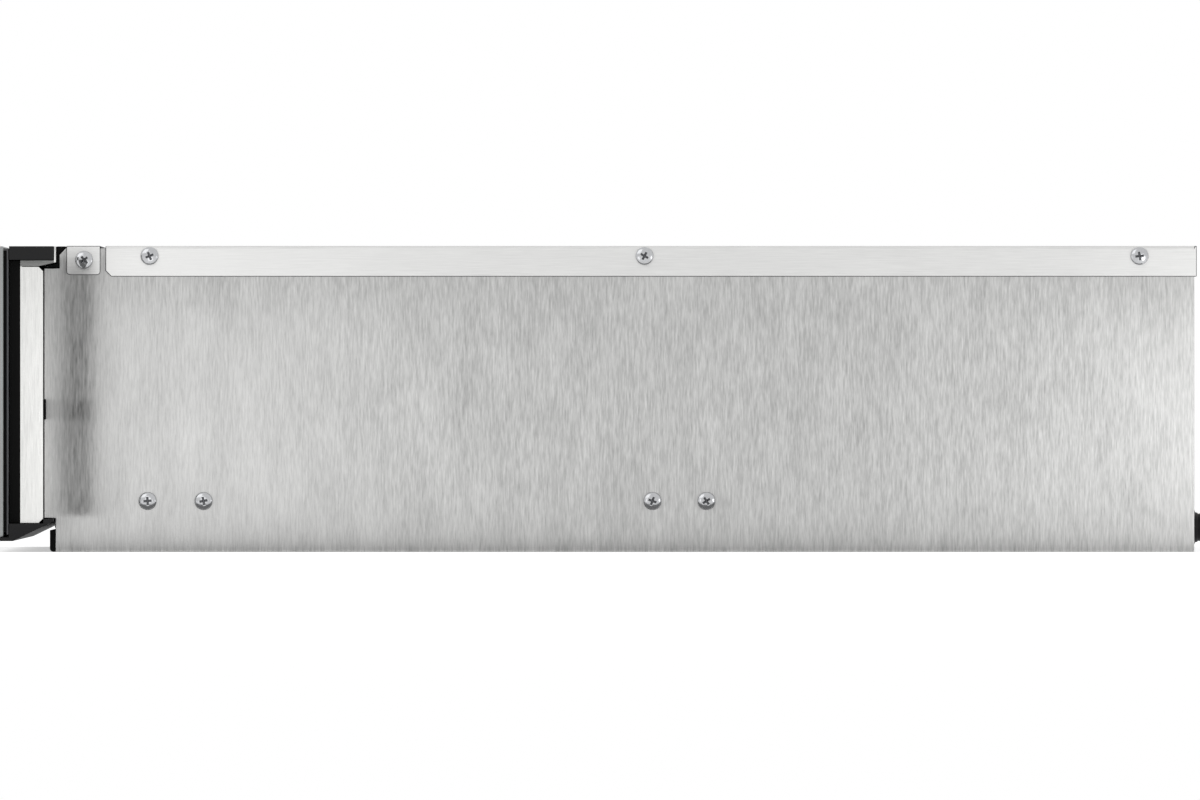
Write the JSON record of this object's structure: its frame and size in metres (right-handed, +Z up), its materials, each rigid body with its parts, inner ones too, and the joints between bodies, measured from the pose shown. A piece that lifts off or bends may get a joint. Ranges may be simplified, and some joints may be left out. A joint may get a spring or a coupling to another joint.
{
  "type": "built-in warming drawer",
  "caption": "Low built-in warming drawer with a black glass front, a steel casing, ball-bearing runners, a heated glass base and a fan behind its rear grille.",
  "frame": {"origin": "bottom centre of the bounding box, on the surface that the casing stands on", "axes": "+X is the width, to the right of a person facing the front; +Y is the depth, from the glass front to the wall; +Z is up"},
  "size_m": [0.595, 0.558, 0.14],
  "materials": {
    "brushed_steel": "vertical brush, satin",
    "zinc_steel": "zinc plated, matt",
    "bright_steel": "bright plated",
    "front_glass": "black toughened glass, polished",
    "base_glass": "dark toughened glass",
    "black_plastic": "fine moulded grain",
    "black_paint": "powder coat, satin",
    "black_rubber": "matt",
    "smoked_lens": "smoked, clear",
    "insulation": "pressed mineral board",
    "circuit_board": "green solder mask",
    "heater_sheath": "heat-darkened sheath",
    "motor_steel": "dark lacquer",
    "cage_steel": "dark phosphated",
    "white_plastic": "moulded"
  },
  "bodies": {
    "casing": {"right_side_panel": "brushed_steel", "left_side_panel": "brushed_steel", "bottom_pan": "zinc_steel", "back_panel": "zinc_steel", "top_cover": "brushed_steel", "front_top_rail": "brushed_steel", "front_sill": "black_rubber", "front_seal": "black_rubber", "right_outer_runner": "zinc_steel", "left_outer_runner": "zinc_steel", "cable_gland": "black_rubber", "terminal_block": "white_plastic", "right_rail_screw": "bright_steel", "right_lid_screw_1": "bright_steel", "right_lid_screw_2": "bright_steel", "right_lid_screw_3": "bright_steel", "right_runner_screw_1": "bright_steel", "right_runner_screw_2": "bright_steel", "right_runner_screw_3": "bright_steel", "right_runner_screw_4": "bright_steel", "left_rail_screw": "bright_steel", "left_lid_screw_1": "bright_steel", "left_lid_screw_2": "bright_steel", "left_lid_screw_3": "bright_steel", "left_runner_screw_1": "bright_steel", "left_runner_screw_2": "bright_steel", "left_runner_screw_3": "bright_steel", "left_runner_screw_4": "bright_steel"},
    "drawer": {"front_glass": "front_glass", "glass_tape": "black_rubber", "glass_backplate": "zinc_steel", "door_carrier": "black_paint", "front_pan": "brushed_steel", "door_top_cap": "black_plastic", "door_grip_lip": "black_plastic", "control_board": "circuit_board", "indicator_lens": "smoked_lens", "right_buffer": "black_rubber", "left_buffer": "black_rubber", "right_drawer_side": "brushed_steel", "left_drawer_side": "brushed_steel", "right_inner_runner": "zinc_steel", "left_inner_runner": "zinc_steel", "drawer_floor": "zinc_steel", "drawer_back": "brushed_steel", "base_glass": "base_glass", "insulation_board": "insulation", "heating_element": "heater_sheath", "fan_housing": "zinc_steel", "fan_motor": "motor_steel", "thermal_limiter": "white_plastic"},
    "right_middle_member": {"right_middle_runner": "zinc_steel"},
    "right_outer_cage": {"right_outer_ball_cage": "cage_steel"},
    "right_inner_cage": {"right_inner_ball_cage": "cage_steel"},
    "left_middle_member": {"left_middle_runner": "zinc_steel"},
    "left_outer_cage": {"left_outer_ball_cage": "cage_steel"},
    "left_inner_cage": {"left_inner_ball_cage": "cage_steel"},
    "power_button": {"power_key": "black_plastic"},
    "temperature_button": {"temperature_key": "black_plastic"},
    "impeller": {"fan_impeller": "bright_steel"}
  },
  "joints": [
    {"name": "drawer_slide", "type": "slide", "parent": "casing", "child": "drawer", "axis": [0, -1, 0], "range_m": [0, 0.4]},
    {"name": "right_middle_member_slide", "type": "slide", "parent": "casing", "child": "right_middle_member", "axis": [0, -1, 0], "range_m": [0, 0.2]},
    {"name": "right_outer_cage_slide", "type": "slide", "parent": "casing", "child": "right_outer_cage", "axis": [0, -1, 0], "range_m": [0, 0.1]},
    {"name": "right_inner_cage_slide", "type": "slide", "parent": "casing", "child": "right_inner_cage", "axis": [0, -1, 0], "range_m": [0, 0.3]},
    {"name": "left_middle_member_slide", "type": "slide", "parent": "casing", "child": "left_middle_member", "axis": [0, -1, 0], "range_m": [0, 0.2]},
    {"name": "left_outer_cage_slide", "type": "slide", "parent": "casing", "child": "left_outer_cage", "axis": [0, -1, 0], "range_m": [0, 0.1]},
    {"name": "left_inner_cage_slide", "type": "slide", "parent": "casing", "child": "left_inner_cage", "axis": [0, -1, 0], "range_m": [0, 0.3]},
    {"name": "power_key_press", "type": "slide", "parent": "drawer", "child": "power_button", "axis": [0, 0, -1], "range_m": [0, 0.0006], "stiffness_N_per_m": 900, "springref_m": -0.0006},
    {"name": "temperature_key_press", "type": "slide", "parent": "drawer", "child": "temperature_button", "axis": [0, 0, -1], "range_m": [0, 0.0006], "stiffness_N_per_m": 900, "springref_m": -0.0006},
    {"name": "impeller_spin", "type": "hinge", "parent": "drawer", "child": "impeller", "pos_m": [0, 0.201, 0.0655], "axis": [0, 1, 0], "continuous": true}
  ],
  "couplings": [
    {"joint": "right_middle_member_slide", "follows": "drawer_slide", "ratio": 0.5},
    {"joint": "right_outer_cage_slide", "follows": "drawer_slide", "ratio": 0.25},
    {"joint": "right_inner_cage_slide", "follows": "drawer_slide", "ratio": 0.75},
    {"joint": "left_middle_member_slide", "follows": "drawer_slide", "ratio": 0.5},
    {"joint": "left_outer_cage_slide", "follows": "drawer_slide", "ratio": 0.25},
    {"joint": "left_inner_cage_slide", "follows": "drawer_slide", "ratio": 0.75}
  ]
}
